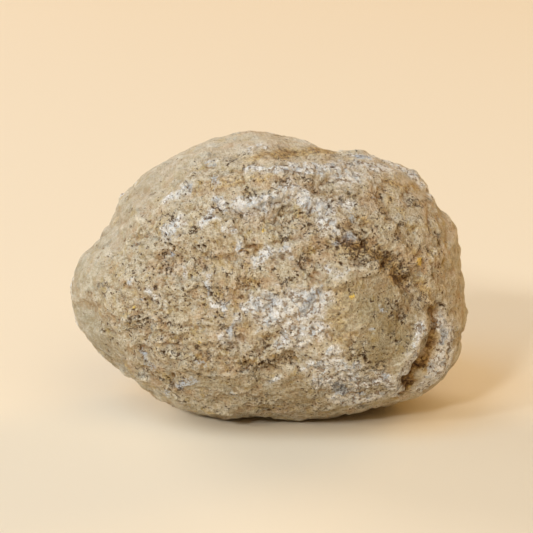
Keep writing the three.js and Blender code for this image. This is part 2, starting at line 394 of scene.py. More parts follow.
def gradient_noise(places):
    """Eight corners round each place, each with its own slope, blended by 6 t^5 - 15 t^4 + 10 t^3."""
    low = np.floor(places)
    total = np.zeros(len(places))
    for corner in np.ndindex(2, 2, 2):
        offset = places - low - corner
        h = corner_hash(*(low + corner).T)
        slope = np.stack([h & 1023, (h >> np.uint32(10)) & 1023, (h >> np.uint32(20)) & 1023], -1)
        nearness = 1 - np.abs(offset)
        weight = (nearness**3 * (nearness * (nearness * 6 - 15) + 10)).prod(1)
        total += weight * ((slope / 511.5 - 1) * offset).sum(1)
    return total * NOISE_HEIGHT


BEDDING = np.array([1, 1, 1.5])
LUMPS = [(21, 1.3), (10, 1.1), (5.5, 0.9)]
LUMP_SHIFT = 17.3  # moves each layer's noise away from the last one's
CREASE = 0.3  # folded noise less this is nought on average


def lumps(points, sizes, shift=LUMP_SHIFT):
    """Folded noise, |noise| - CREASE, summed over (size, height) pairs, a little flattened along the beds."""
    total = np.zeros(len(points))
    for layer, (size, height) in enumerate(sizes, 1):
        places = points * BEDDING / size + shift * layer * np.array([1, -1, 1])
        total += height * (np.abs(gradient_noise(places)) - CREASE)
    return total


# %% [markdown]
# The stone rests on a worn flat. Cutting it with a plane would leave a sharp rim, so the distance from the
# heart to the floor and the stone's own are blended over a millimetre or so.

# %% Cut the stone off level where it rests
FLAT_BLEND = 1.2


def lower_of(a, b, blend):
    """The smaller of two lengths, rounded over where they are within blend of each other."""
    overlap = np.clip(blend - np.abs(a - b), 0, None) / blend
    return np.minimum(a, b) - overlap**2 * blend / 4


radius = length(egg) + forms + lumps(egg, LUMPS)
below = directions[:, 2] < 0
to_flat = HEART_HEIGHT / -directions[below, 2]
radius[below] = lower_of(radius[below], to_flat, FLAT_BLEND)
stone = directions * radius[:, None] + heart
stone[:, 2] = stone[:, 2].clip(0)
print("stone, in mm:", np.ptp(stone, axis=0).round(1))

# %% [markdown]
# ## Crumbs, beds, granules and pits
#
# Up close the rock is crumbly. Crumbs are the same folded noise, much smaller. Beds are the layers that the
# rock was laid down in: each stands out a little over the one below it, so the face has low lips with shade
# under them. Granules are grains of chalk fused together, and pits are where single grains have fallen out.
#
# Bump shading alone could suggest all of this, but it leaves the outline as smooth as plastic, and nothing
# throws a shadow. So whatever is larger than half a millimetre is real here.

# %% Dots scattered through the rock
def scattered_dots(points, cell, seed):
    """One dot in every cubic cell: the distance from each point to its nearest dot, and that dot's chance.

    The dot's place in its cell and its chance, 0 to 1, are all cut from one hashed number.
    """
    places = points / cell + seed
    low = np.floor(places)
    distance = np.full(len(points), np.inf)
    chance = np.zeros(len(points))
    for step in np.ndindex(3, 3, 3):
        corner = low + step - 1
        h = corner_hash(*corner.T)
        inside = np.stack([h & 255, (h >> np.uint32(8)) & 255, (h >> np.uint32(16)) & 255], -1) / 255
        gap = length(places - corner - inside) * cell
        nearer = gap < distance
        distance = np.where(nearer, gap, distance)
        chance = np.where(nearer, (h >> np.uint32(24)) / 255, chance)
    return distance, chance


def streaks(points, rows):
    """The strongest of all streaks, each strength * exp(-(distance / width) ** 2) from its spots."""
    strongest = np.zeros(len(points))
    for width, strength, *spots in rows:
        line = on_egg(from_heart(spots if len(spots) > 1 else spots * 2))
        near = near_line(points, line, width)
        distance = np.full(near.sum(), np.inf)
        for start, end in zip(line[:-1], line[1:]):
            along = end - start
            share = ((points[near] - start) @ along / max(along @ along, 1e-9)).clip(0, 1)
            gap = length(points[near] - start - share[:, None] * along)
            distance = np.minimum(distance, gap)
        strongest[near] = np.maximum(strongest[near], strength * np.exp(-((distance / width) ** 2)))
    return strongest


# %% [markdown]
# Stains, crusts and pits are each given by where they show in the picture, across and down in pixels, and the
# line of sight through that place is followed to the egg. That is easier to choose and to correct than a spot
# in space. Three numbers are such a spot, in millimetres from the heart.

# %% Where the chalk lies: width, strength, spots
CHALK = [
    # along the shelf, and the crusts beside it
    (1.9, 1.6, (-5, -24, 22), (260, 202), (274, 198), (285, 195), (296, 195)),
    (1.8, 1.5, (296, 195), (303, 199), (312, 206), (12, -23, 21)), (2.2, 1.1, (330, 226)),
    (1.4, 0.9, (348, 204)), (1.4, 1.1, (220, 200)), (1.0, 1.0, (212, 210)),
    (1.1, 0.9, (218, 201), (228, 206)), (1.1, 0.9, (205, 224), (213, 219)),
    (1.0, 0.8, (224, 229), (232, 231)), (1.5, 0.8, (168, 199), (186, 189)),
    (1.5, 0.9, (168, 233), (178, 222)), (1.2, 0.8, (322, 216), (330, 226)),
    (1.2, 0.7, (338, 202), (348, 208)), (1.1, 0.7, (350, 240), (344, 236)),
    # pale crust over the crown slab and the knobs
    (2.6, 0.7, (312, 172), (340, 166)), (2.4, 0.7, (335, 178), (365, 176)),
    (2.6, 0.7, (355, 165), (390, 170)), (2.0, 0.9, (275, 172), (298, 170)),
    (1.6, 0.6, (250, 150), (258, 145)), (1.3, 0.5, (270, 148)), (1.3, 1.0, (-3, -18, 28), (270, 170)),
    (1.3, 1.2, (286, 173), (296, 176), (306, 171), (314, 167)),
    (1.6, 1.1, (328, 166), (340, 170), (348, 176)), (1.6, 0.8, (290, 178)),
    (3.0, 0.9, (25, 1, 27), (31, 0, 24), (36, -2, 20)), (2.8, 1.1, (363, 157)),
    # single crusts on the left of the face
    (1.2, 0.9, (130, 282)), (1.1, 0.8, (148, 290), (160, 300)), (0.9, 1.0, (209, 275), (210, 284)),
    (1.5, 0.9, (215, 303), (224, 308)), (1.2, 0.9, (236, 317), (230, 326)),
    (1.3, 0.9, (222, 336), (232, 338)), (1.0, 0.8, (180, 268), (184, 274)), (1.2, 0.8, (246, 306)),
    # the middle ledge's lip
    (0.9, 0.8, (243, 252), (238, 244)), (1.3, 1.2, (258, 262), (1, -29, 13), (290, 252)),
    (1.2, 0.5, (13, -29, 10), (345, 276)), (1.2, 0.7, (12, -31, 6), (13, -31, 4)),
    # the large crumbly patch in the middle of the face
    (2.2, 0.9, (255, 306), (275, 302), (300, 300), (322, 296)),
    (2.0, 0.9, (262, 318), (285, 312), (312, 312)), (2.2, 0.9, (295, 330), (318, 330)),
    (1.6, 0.8, (285, 345), (305, 345)), (1.4, 0.7, (250, 345)),
    # the rim of the block
    (1.7, 1.2, (420, 328), (415, 345), (408, 362), (400, 378), (395, 392)),
    # the low lobe
    (2.4, 1.1, (37, -20, -5), (450, 335)), (3.0, 1.1, (445, 350), (435, 370)),
    (3.4, 1.1, (445, 365), (425, 385)),
    # the crumbly belly below the block
    (1.8, 0.9, (310, 366), (335, 366), (355, 368)), (2.4, 0.9, (318, 380), (345, 382), (375, 380)),
    (2.0, 0.8, (335, 398), (365, 400), (392, 392)), (1.8, 0.8, (372, 374), (392, 380)),
    (1.6, 0.7, (275, 379)), (1.1, 0.8, (320, 355), (338, 350)),
]
print(len(CHALK), "streaks of chalk")

# %% [markdown]
# The other stains are listed in the same way: grey mineral among the chalk, rust and ochre where iron has
# run, single bright grains, and the pits and cracks where the rock is broken open. Ochre and dark rows
# under the ledges, and dark rows down the groove, are painted shadow. One list with a kind in each row
# would do, but each kind is used on its own below.

# %% Where the grey mineral shows
GREY = [
    (1.8, 1.2, (362, 158)), (1.8, 0.9, (412, 176)), (1.3, 0.8, (212, 162)), (1.2, 1.0, (353, 218)),
    (1.1, 1.0, (347, 238), (334, 244)), (1.1, 0.8, (373, 199)), (1.2, 1.0, (303, 308), (310, 299)),
    (1.0, 0.9, (322, 296)), (0.9, 0.9, (224, 308)), (0.9, 0.8, (233, 322), (228, 328)),
    (1.0, 0.8, (170, 254)), (1.2, 0.8, (141, 301)), (0.9, 0.7, (197, 325)),
    (1.4, 0.8, (145, 357), (150, 366)), (1.6, 0.8, (180, 386), (192, 382)), (1.5, 0.7, (231, 393)),
    (1.5, 0.9, (38, -19, -5), (442, 340)), (1.2, 0.9, (428, 366)), (1.0, 0.9, (388, 374)),
    (0.9, 0.9, (352, 366)), (1.1, 0.9, (335, 388), (345, 391)), (1.1, 0.9, (360, 394)),
    (1.2, 0.7, (384, 310)), (1.3, 0.7, (202, 365)), (1.8, 0.7, (168, 393)), (1.0, 0.7, (372, 330)),
    (1.4, 0.8, (215, 183)), (1.0, 0.6, (208, 292)),
]
print(len(GREY), "spots of grey")

# %% Where the rust and ochre stains run
OCHRE = [
    # the trough behind the crown slab, and the stains that run from it
    (2.6, 0.9, (255, 158), (275, 155), (300, 152)), (2.8, 0.95, (300, 152), (13, -3, 29)),
    # the brown hollow above the block
    (3.2, 0.95, (15, -27, 15), (363, 248), (383, 262), (28, -25, 7)), (2.2, 0.8, (33, -22, 3), (433, 305)),
    (1.8, 0.8, (213, 187), (240, 181)), (1.8, 0.7, (243, 172), (256, 166)),
    (1.2, 0.8, (255, 178), (268, 182)), (0.9, 1.0, (213, 219)), (1.8, 0.7, (198, 192)),
    # between the knobs, and down the heel
    (1.6, 0.9, (378, 167), (384, 172)), (2.0, 0.9, (392, 182), (405, 186), (418, 186)),
    (1.5, 0.8, (388, 198)), (1.3, 0.8, (366, 222), (370, 228)), (2.0, 0.6, (410, 250)),
    (1.8, 0.6, (446, 285)), (2.2, 0.6, (440, 250), (450, 265)),
    # painted shadow under the ledges of the face, in brown
    (1.0, 1.0, (243, 252), (260, 247)), (1.2, 0.8, (246, 281), (256, 280)), (1.6, 0.6, (152, 226)),
    (1.8, 0.6, (115, 218)), (1.6, 0.6, (125, 366)), (1.0, 1.0, (243, 362), (266, 362)),
    (0.8, 0.9, (272, 356), (295, 358)), (1.2, 0.8, (203, 355), (205, 368)), (1.2, 0.8, (190, 318)),
    (0.9, 0.7, (238, 338)),
    # the left half of the block
    (4.2, 0.55, (15, -31, 5), (15, -31, 0), (338, 345)), (3.0, 0.35, (360, 320)), (1.2, 0.8, (380, 365)),
    # the groove round the block
    (1.5, 1.1, (433, 305), (36, -21, -4), (36, -21, -7), (35, -22, -10)),
    (1.6, 1.2, (34, -22, -12), (414, 372), (31, -22, -17), (400, 392)),
]
print(len(OCHRE), "stains of ochre")

# %% Where grains of bright ochre sit
DOTS = [
    (1.0, 1.3, (420, 261)), (0.8, 0.9, (352, 297)), (0.5, 0.9, (263, 231)), (0.6, 0.8, (133, 308)),
    (0.6, 0.8, (125, 366)), (0.7, 0.8, (-14, -31, -6)), (0.6, 0.8, (417, 350)),
]
print(len(DOTS), "bright grains")

# %% Where the rock is broken open: dark pits and cracks, and painted shadow under the ledges
DARK = [
    # the back edge of the crown and the nose
    (0.8, 0.8, (152, 183)), (0.9, 0.7, (130, 208)), (0.8, 0.8, (127, 226), (133, 224)),
    (1.3, 0.5, (88, 301), (92, 285)), (1.2, 0.55, (96, 318), (104, 330), (112, 340)),
    (1.2, 0.5, (122, 352)), (1.0, 0.7, (143, 347)), (1.2, 0.4, (110, 255)), (0.8, 0.6, (151, 219)),
    # pockets in the left of the face
    (0.8, 0.9, (164, 243), (174, 246)), (0.8, 1.0, (187, 254), (203, 249)), (0.6, 0.9, (223, 237)),
    (0.5, 1.0, (213, 219)), (0.45, 1.0, (207, 268), (213, 261)), (0.6, 1.0, (175, 269)),
    (0.5, 1.0, (186, 292)), (0.5, 0.9, (-13, -25, 17)), (0.8, 0.9, (141, 354), (148, 350)),
    (0.7, 0.9, (148, 300), (158, 304)), (0.8, 0.9, (140, 313), (152, 320)),
    (0.7, 0.9, (162, 348), (170, 355)), (0.8, 0.8, (144, 360)), (0.9, 0.6, (116, 345)),
    (0.9, 0.6, (106, 352)), (0.7, 0.8, (195, 346)), (0.9, 0.7, (203, 378)),
    # under the shelf and the crown slab: shallow cuts, painted dark as shadow
    (0.7, 0.9, (6, -24, 20), (9, -25, 20)), (0.6, 0.9, (277, 185)), (0.7, 1.0, (360, 189)),
    (0.7, 0.9, (372, 200)), (0.6, 0.9, (329, 203)), (0.7, 0.8, (357, 213)), (0.8, 0.8, (380, 214)),
    (0.7, 0.8, (388, 198)),
    # under the middle ledge: shallow cracks, painted dark as shadow
    (0.55, 1.0, (232, 251), (249, 252)), (0.7, 0.8, (258, 273), (266, 269)),
    (0.8, 0.9, (289, 279), (300, 280)), (0.6, 0.9, (340, 233)), (0.6, 0.9, (355, 235), (363, 248)),
    (0.5, 1.0, (333, 250), (337, 258), (340, 262)), (0.8, 0.45, (365, 245), (385, 262), (400, 280)),
    # mottles down the heel
    (0.8, 0.55, (430, 225), (442, 249)), (1.0, 0.5, (452, 240), (450, 270)),
    (0.8, 0.6, (440, 262), (442, 294)), (0.8, 0.7, (436, 300), (447, 310)),
    # the lower face
    (0.8, 0.9, (228, 349)), (0.5, 1.0, (237, 371), (250, 366), (275, 361), (288, 358)),
    (0.7, 1.0, (278, 353), (286, 350)), (0.7, 0.9, (291, 365)), (0.6, 0.8, (298, 332)),
    (0.8, 0.7, (240, 385)), (0.8, 0.8, (212, 375)), (0.9, 0.6, (232, 398)),
    # pits in the block, and painted shadow down the groove round it
    (0.6, 0.7, (340, 310), (342, 320)), (0.8, 1.0, (362, 354), (368, 362)), (0.6, 1.0, (374, 350)),
    (0.7, 1.0, (367, 367)), (0.6, 1.0, (325, 357)), (0.5, 0.8, (390, 340), (398, 345)),
    (0.5, 0.9, (355, 340)), (0.5, 0.8, (378, 300)), (0.6, 0.9, (422, 308), (427, 315)),
    (0.9, 0.8, (36, -21, -5), (35, -22, -10)), (1.1, 0.95, (33, -23, -13), (414, 372)),
    (1.1, 0.95, (31, -22, -17), (400, 392)), (0.9, 0.9, (442, 294)), (0.8, 0.8, (416, 286)),
    (0.8, 0.7, (411, 211)),
]
print(len(DARK), "pits and cracks")

# %% [markdown]
# The stains are laid out on the smooth egg, but the stone stands off it, and a stain looked up straight
# towards the heart would seem to slip sideways. So each point is slid along the line of sight to the egg and
# looked up there, less so towards the outline, where that line only grazes the egg. The points are then
# stirred with a little noise, because a stain's edge on rock is never a smooth curve.

# %% Lay the stains on the stone
def wander(points, size, reach, shift):
    """The points, each moved by noise up to about reach, so that what is laid by them gets a ragged edge."""
    moves = [gradient_noise(points / size + shift * axis) for axis in (1, 2, 3)]
    return points + reach * np.stack(moves, -1)


GRAZING = 0.35  # how squarely the egg must face the eye for a point to be slid all the way


def slid_onto_egg(points, rounds=4):
    """Each point moved along the line of sight until it is on the egg, less and less towards the outline."""
    for _ in range(rounds):
        ways = unit(points)
        facing = -(ways @ look)
        outside = length(points) - egg_radius(ways)
        slide = outside * smoothstep(facing, 0, GRAZING) / facing.clip(GRAZING, None)
        points = points + slide[:, None] * look
    return on_egg(points)


spot = slid_onto_egg(stone - heart)
print("moved by up to", length(spot - egg).max().round(1), "mm")
ragged = wander(wander(spot, 3.2, 1.3, 7.7), 1.3, 0.6, 4.3)
chalk = streaks(ragged, CHALK)
grey = streaks(ragged, GREY)
ochre = streaks(ragged, OCHRE)
dots = streaks(spot, DOTS)
dark = streaks(ragged, DARK)
print("shares of the surface: chalk", (chalk > 0.4).mean().round(3), "dark", (dark > 0.4).mean().round(3))

# %% [markdown]
# The far side has no named stains. Rows of spots would do there as well, but they would take as many
# lines again, so the same kinds of stain are laid out by noise. That is enough for the stone to read as
# one rock all the way round.

# %% Stain the far side by noise
far_side = smoothstep(directions @ look, -0.35, 0.15)


def blotches(points, size, low, high, shift):
    """Patches about size across, where coarse noise plus half as much fine noise is above a level."""
    coarse = gradient_noise(points / size + shift)
    fine = gradient_noise(points / size * 2.7 - shift)
    return smoothstep(coarse + fine / 2, low, high)


chalk = np.maximum(chalk, far_side * blotches(egg, 9, 0.25, 0.6, 3.1))
grey = np.maximum(grey, far_side * blotches(egg, 5, 0.5, 0.8, 8.3))
ochre = np.maximum(ochre, 0.7 * far_side * blotches(ragged, 8, 0.3, 0.9, 14.9))
dark = np.maximum(dark, far_side * blotches(egg, 3.2, 0.62, 0.8, 21.7))

# %% [markdown]
# ## The fine relief
#
# Each kind of roughness is its own height off the surface, so that it can be held back where the rock is
# worn and laid on where it crumbles. Blender's displacement could do the same from textures, but heights
# in numpy can be measured, and the mesh that they give is final.

# %% The kinds of fine relief
def corner_sums(values, count):
    """For each of count points, the sum of the values of the squares that meet there."""
    columns = [sum(np.bincount(corner, column, count) for corner in squares.T) for column in values.T]
    return np.stack(columns, -1)


def surface_normals(points):
    """Every square's normal, from its two diagonals, added up at its corners."""
    a, b, c, d = points[squares.T]
    return unit(corner_sums(np.cross(c - a, d - b), len(points)))


def evened(points, rounds):
    """Each point moved to the mean of its squares' middles, so many rounds over."""
    count = np.bincount(squares.ravel(), minlength=len(points))
    for _ in range(rounds):
        points = corner_sums(points[squares].mean(1), len(points)) / count[:, None]
    return points


BED_NORMAL = unit(np.array([-0.12, -0.3, 1.0]))
BED_SPACING = 4.6
BED_LIP = 0.14  # share of a bed's thickness that its undercut takes


def beds(points):
    """A saw edge up the face: out towards each bed's lower lip, then sharply in. The beds come and go."""
    level = points @ BED_NORMAL + 1.5 * gradient_noise(points / 9 + 5.5)
    level += 0.5 * gradient_noise(points / 2.7 + 9.5)
    share = level / BED_SPACING % 1
    shown = smoothstep(gradient_noise(points / np.array([16, 16, 7]) + 2.2), -0.15, 0.45)
    return shown * (1 - share) * smoothstep(share, 0, BED_LIP)


def granules(points, across, seed):
    """Round grains, one at each dot, each of its own height: sqrt(1 - (1.7 d / across) ** 2) at most."""
    distance, chance = scattered_dots(points, across, seed)
    return np.sqrt((1 - (distance / across * 1.7) ** 2).clip(0, None)) * (0.4 + 0.6 * chance)


def chips(points, across, seed):
    """Flat-topped flakes, each at its own height from -1/2 to 1/2, with a broken edge between them."""
    return scattered_dots(points * BEDDING, across, seed)[1] - 0.5


def pits(points, spacing, share, seed):
    """Small round holes at some of the dots: 1 - (d / r) ** 2, with r up to 0.34 of the spacing."""
    distance, chance = scattered_dots(points, spacing, seed)
    size = spacing * (0.12 + 0.22 * chance / share)
    return np.where(chance < share, (1 - (distance / size) ** 2).clip(0, None), 0)


CRACK_WIDTH = 0.06


def cracked(points, size, shift):
    """Thin meandering cracks: exp(-(noise / CRACK_WIDTH) ** 2), which is 1 where the noise is nought."""
    return np.exp(-((gradient_noise(points * BEDDING / size + shift) / CRACK_WIDTH) ** 2))


# %% [markdown]
# Where a ledge breaks off, its edge is a thin, ragged lip. The ledges above are too broad to show it, and
# a sharper ledge would lose its slow side, so the lips are laid along them here, on the stirred points.

# %% Lips along the ledges: height, how far each side fades, spots
LIPS = [
    # the shelf, the crusts at its left end, and the slab above it
    (1.1, 2.5, 0.7, (-9, -23, 23), (246, 206), (274, 198), (296, 195), (10, -23, 22), (13, -24, 20)),
    (0.8, 2.0, 0.7, (-19, -22, 19), (-13, -25, 19), (-8, -26, 18), (-3, -26, 19)),
    (0.7, 2.0, 0.9, (-6, -20, 26), (1, -20, 26), (8, -18, 26), (15, -15, 26), (22, -13, 26)),
    (0.6, 2.0, 0.8, (-20, -16, 24), (-12, -19, 25), (-6, -19, 26)),
    # the middle ledge's two arcs, and the low one at their left
    (0.8, 2.0, 0.7, (-12, -28, 12), (232, 251), (249, 252), (-2, -29, 15)),
    (0.9, 2.0, 0.7, (252, 251), (279, 249), (295, 252), (9, -30, 11)),
    (0.7, 2.0, 0.7, (-26, -22, 12), (-22, -25, 13), (-18, -26, 13)),
    (0.7, 2.0, 0.7, (-18, -27, 10), (-14, -29, 11), (-10, -28, 13)),
    # small steps further down the face
    (0.6, 1.8, 0.7, (-4, -31, 8), (1, -31, 9), (6, -31, 8)),
    (0.7, 2.0, 0.8, (-30, -22, -8), (148, 340), (-22, -27, -9)),
    (0.35, 1.8, 0.7, (-12, -30, -9), (236, 358), (266, 362), (295, 358)),
    (0.6, 1.8, 0.8, (-20, -27, -11), (-12, -29, -13), (-5, -29, -14)),
    # the block: its upper rim, and the torn rim down its right side
    (0.9, 0.8, 2.5, (13, -31, 6), (340, 277), (19, -29, 9), (23, -27, 9), (396, 276)),
    (0.9, 0.8, 2.2, (422, 308), (426, 321), (420, 337), (402, 359), (396, 382), (381, 397)),
    (-0.9, 1.3, 2.0, (433, 305), (35, -22, -6), (35, -22, -9), (420, 362), (414, 372), (400, 392)),
]
print(len(LIPS), "lips")

# %% [markdown]
# A stone that has rolled is smooth where it stuck out and crumbly where it was sheltered. One strength
# for all of the relief would be simpler, but it would look like a coat of plaster. So masks say where the
# rock is worn, rubbed, dulled or full of pits, and the heights are weighed by them.

# %% Weigh the fine relief by how worn the rock is, and add it to the stone
worn = streaks(egg, [
    (7.5, 1.0, (20, -30, 2), (27, -27, -5), (22, -29, -8)), (5, 0.5, (-12, -29, -17), (8, -29, -19)),
    (8, 0.5, (-40, -10, 2), (-36, -16, -6)),
])
rubbed = streaks(egg, [
    (9, 1.0, (-14, -8, 31), (0, -4, 32)), (8, 1.0, (-36, -14, 8), (-26, -10, 20), (-14, -8, 31)),
    (7, 0.9, (-42, -8, 2), (-38, -14, -6)), (8, 0.5, (38, -8, 12)),
])
dull = streaks(egg, [
    (9, 1.0, (-42, -4, 3), (-34, -10, 14), (-24, -8, 24)), (7, 0.9, (-42, -8, -4), (-36, -14, -12)),
])
pitted = streaks(egg, [
    (5, 0.5, (-27, -25, -2), (-20, -28, -8), (-10, -30, -10), (0, -30, -12)), (5, 0.6, (-14, -29, 9)),
    (4, 0.4, (4, -24, 21), (14, -24, 20), (20, -22, 19)),
    (4, 0.4, (2, -26, 19), (10, -27, 17), (18, -26, 14)), (4, 0.8, (18, -29, -9), (22, -28, -12)),
    (4, 0.8, (12, -29, -15), (24, -25, -16)), (5, 0.7, (25, -28, 1), (27, -27, -5)),
    (4, 0.9, (16, -27, 15), (22, -26, 12), (30, -24, 6)),
])
pitted = np.maximum(pitted, 0.45 * far_side * blotches(ragged, 12, 0.0, 0.6, 30.1))
rolled = smoothstep(directions @ look, -0.6, -0.15) * (1 - smoothstep(directions @ look, 0.15, 0.5))
rough = (1 - 0.3 * worn) * (1 - 0.7 * rubbed) * (1 - 0.6 * rolled)
crust = smoothstep(chalk + 0.25 * gradient_noise(stone / 1.6), 0.3, 0.6)
# breaks in the rock, cut in and later painted dark, together with painted shadow under the ledges and down
# the groove
breaks_and_shadow = smoothstep(dark + 0.9 * gradient_noise(stone / 0.6), 0.7, 1.05)
holes = pits(stone, 2.2, 0.3, 11) * smoothstep(gradient_noise(stone / 7 + 4.4), -0.1, 0.4)

crumbly = smoothstep(gradient_noise(stone / 6 + 2.9) + 0.5 * pitted - 0.5 * worn, -0.1, 0.35)
cracks = cracked(ragged, 4.0, 1.1) + 0.7 * cracked(ragged, 2.2, 6.1)

CRUMBS = [(2.8, 0.45), (1.3, 0.28)]
BED_HEIGHT = 0.7
GRAIN_HEIGHT = 0.25
CRUST_HEIGHT = 0.15
BREAK_DEPTH = 0.6
HOLE_DEPTH = 0.4
CRACK_DEPTH = 0.45
SINK = 0.1
calm = rough * (1 - 0.4 * worn)
relief = calm * (0.3 + 0.7 * crumbly) * lumps(stone, CRUMBS, 31.7)
relief -= worn * lumps(egg, [(5.5, 0.7)], 3 * LUMP_SHIFT)  # most of the third layer of LUMPS
relief += calm * (0.6 * chips(ragged, 3.1, 3) + 0.35 * crumbly * chips(ragged, 1.5, 5))
relief += calm * (0.15 + 0.25 * crumbly) * granules(wander(stone, 1.0, 0.3, 3.9), 1.2, 9)
relief += calm * BED_HEIGHT * beds(stone) + sum(ledge(ragged, *row) for row in LIPS)
relief += GRAIN_HEIGHT * crust * granules(stone, 1.2, 7) + CRUST_HEIGHT * crust
relief -= BREAK_DEPTH * breaks_and_shadow + HOLE_DEPTH * holes + CRACK_DEPTH * rough * crumbly * cracks + SINK
relief *= smoothstep(stone[:, 2], 0.15, 1.6)
print("fine relief, in mm:", relief.min().round(2), "to", relief.max().round(2))

skin = stone + surface_normals(stone) * relief[:, None]
skin[:, 2] = skin[:, 2].clip(0)
hollow = np.einsum("ij,ij->i", evened(skin, 8) - skin, surface_normals(skin))
# dust with painted light from above: high where the surface faces up
dust_and_top_light = smoothstep(surface_normals(stone)[:, 2], 0.4, 0.95)
print("skin, in mm:", skin.min(0).round(1), skin.max(0).round(1), "hollows to", hollow.max().round(2))

# %% [markdown]
# ## The mesh
#
# The points go into one mesh, with the masks as numbers on its points, so that the material can follow
# the relief exactly. A painted texture would need the surface unwrapped first, and it would blur between
# its pixels.

# %% Make the mesh
mesh = bpy.data.meshes.new("rind")
mesh.from_pydata((skin * MM).tolist(), [], squares.tolist())
mesh.shade_smooth()
for name, values in {
    "chalk": chalk, "grey": grey, "ochre": ochre, "dots": dots, "dark": np.maximum(breaks_and_shadow, holes),
    "hollow": hollow, "worn": worn, "pitted": pitted, "dust_and_top_light": dust_and_top_light, "rough": rough, "dull": dull,
}.items():
    mesh.attributes.new(name, "FLOAT", "POINT").data.foreach_set("value", values.astype(np.float32))
rind = added("rind", mesh)
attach(rind, "root")
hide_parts("geode")
print(len(mesh.polygons), "squares")

# %% [markdown]
# ## The rock's colours
#
# Painting the stone by hand is possible, but paint shows its brush. Instead one material mixes rock colours
# by rules that follow how the stone came to look so: chalk lies in its patches and is white on its grains
# and brown between them, dirt gathers in hollows, ridges are rubbed pale, and iron has rusted where water
# ran. All patterns are read in millimetres from the stone's own coordinates, so they stay put.

# %% Small helpers for the material
material = bpy.data.materials.new("rind")
material.use_nodes = True
tree = material.node_tree
tree.nodes.clear()


def node(kind, sockets=None, **settings):
    """A new node with its settings, and each of its sockets either joined to another node's or set."""
    made = tree.nodes.new(kind)
    for name, value in settings.items():
        setattr(made, name, value)
    for name, value in (sockets or {}).items():
        if isinstance(value, bpy.types.NodeSocket):
            tree.links.new(value, made.inputs[name])
        else:
            made.inputs[name].default_value = value
    return made


def math_node(operation, *values, clamp=False):
    """A sum, product or other operation on numbers."""
    return node("ShaderNodeMath", dict(enumerate(values)), operation=operation, use_clamp=clamp).outputs[0]


def linear(a, b, c):
    """a * b + c."""
    return math_node("MULTIPLY_ADD", a, b, c)


def times(a, b):
    """a * b."""
    return math_node("MULTIPLY", a, b)


def roughened(value, pattern, strength):
    """value + strength * (pattern - 1/2)."""
    return linear(math_node("SUBTRACT", pattern, 0.5), strength, value)


def ramp(value, low, high):
    """A number that goes smoothly from 0 to 1 as value goes from low to high."""
    sockets = {"Value": value, "From Min": low, "From Max": high}
    return node("ShaderNodeMapRange", sockets, interpolation_type="SMOOTHSTEP").outputs[0]


def colour(red, green, blue):
    """A colour as it looks on a screen, 0 to 255, turned into the amounts of light that a shader takes."""
    screen = np.array([red, green, blue]) / 255
    light = np.where(screen > 0.04045, ((screen + 0.055) / 1.055) ** 2.4, screen / 12.92)
    return (*light, 1.0)


def mix(share, a, b, blend="MIX"):
    """Colour a turning into colour b as share goes from 0 to 1."""
    made = node("ShaderNodeMix", {0: share, 6: a, 7: b}, data_type="RGBA", blend_type=blend)
    return made.outputs[2]


def attribute(name):
    """One of the mesh's own numbers."""
    return node("ShaderNodeAttribute", attribute_name=name).outputs["Fac"]


place = node("ShaderNodeTexCoord").outputs["Object"]
place = node("ShaderNodeVectorMath", {0: place, "Scale": 1 / MM}, operation="SCALE").outputs[0]


def noise(size, seed, detail=2.0, roughness=0.5):
    """Soft noise about size millimetres across, 0 to 1 and mostly near one half."""
    sockets = {"Vector": place, "W": seed, "Scale": 1 / size, "Detail": detail, "Roughness": roughness}
    return node("ShaderNodeTexNoise", sockets, noise_dimensions="4D").outputs[0]


def cells(size, seed):
    """Uneven cells about size millimetres across: the distance to a cell's dot, and its random colour."""
    sockets = {"Vector": place, "W": seed, "Scale": 0.9 / size}
    moves = node("ShaderNodeTexNoise", sockets, noise_dimensions="4D")
    sockets = {0: moves.outputs["Color"], 1: (2 * size,) * 3, 2: place}
    moved = node("ShaderNodeVectorMath", sockets, operation="MULTIPLY_ADD")
    return node("ShaderNodeTexVoronoi", {"Vector": moved.outputs[0], "Scale": 1 / size}).outputs


# %% [markdown]
# The ground is never one colour. One noise through a ramp of many colours would be simpler, but every
# mottle would be as large as the next, so soft noises of different sizes each mix in another tan, cream
# or grey.

# %% Ground colour: sand, tan, cream and grey, mottled
fine = noise(0.28, 1.0, 1, 0.6)
grit = noise(0.7, 2.0, 3, 0.65)
patchy = noise(2.0, 3.0, 5, 0.7)
wide = noise(9, 4.0, 3)
ground = mix(ramp(wide, 0.38, 0.62), colour(184, 167, 136), colour(194, 184, 160))
ground = mix(times(ramp(patchy, 0.5, 0.62), 0.7), ground, colour(220, 211, 190))
ground = mix(times(ramp(noise(1.6, 5.0, 5, 0.7), 0.5, 0.6), 0.6), ground, colour(162, 141, 98))
ground = mix(times(ramp(noise(3.2, 6.0, 4, 0.65), 0.52, 0.64), 0.6), ground, colour(175, 174, 164))
ground = mix(times(ramp(noise(4.0, 9.0, 4, 0.65), 0.5, 0.6), 0.6), ground, colour(186, 156, 120))
ground = mix(times(ramp(noise(2.6, 10.0, 4, 0.65), 0.53, 0.64), 0.6), ground, colour(188, 164, 102))
ground = mix(times(roughened(attribute("worn"), patchy, 1.2), 0.7), ground, colour(144, 129, 88))
ground = mix(times(attribute("dull"), 0.55), ground, colour(150, 138, 112))
# paler where the surface faces up: dust, and painted light from above
ground = mix(times(roughened(attribute("dust_and_top_light"), patchy, 0.8), 0.25), ground, colour(238, 230, 212))
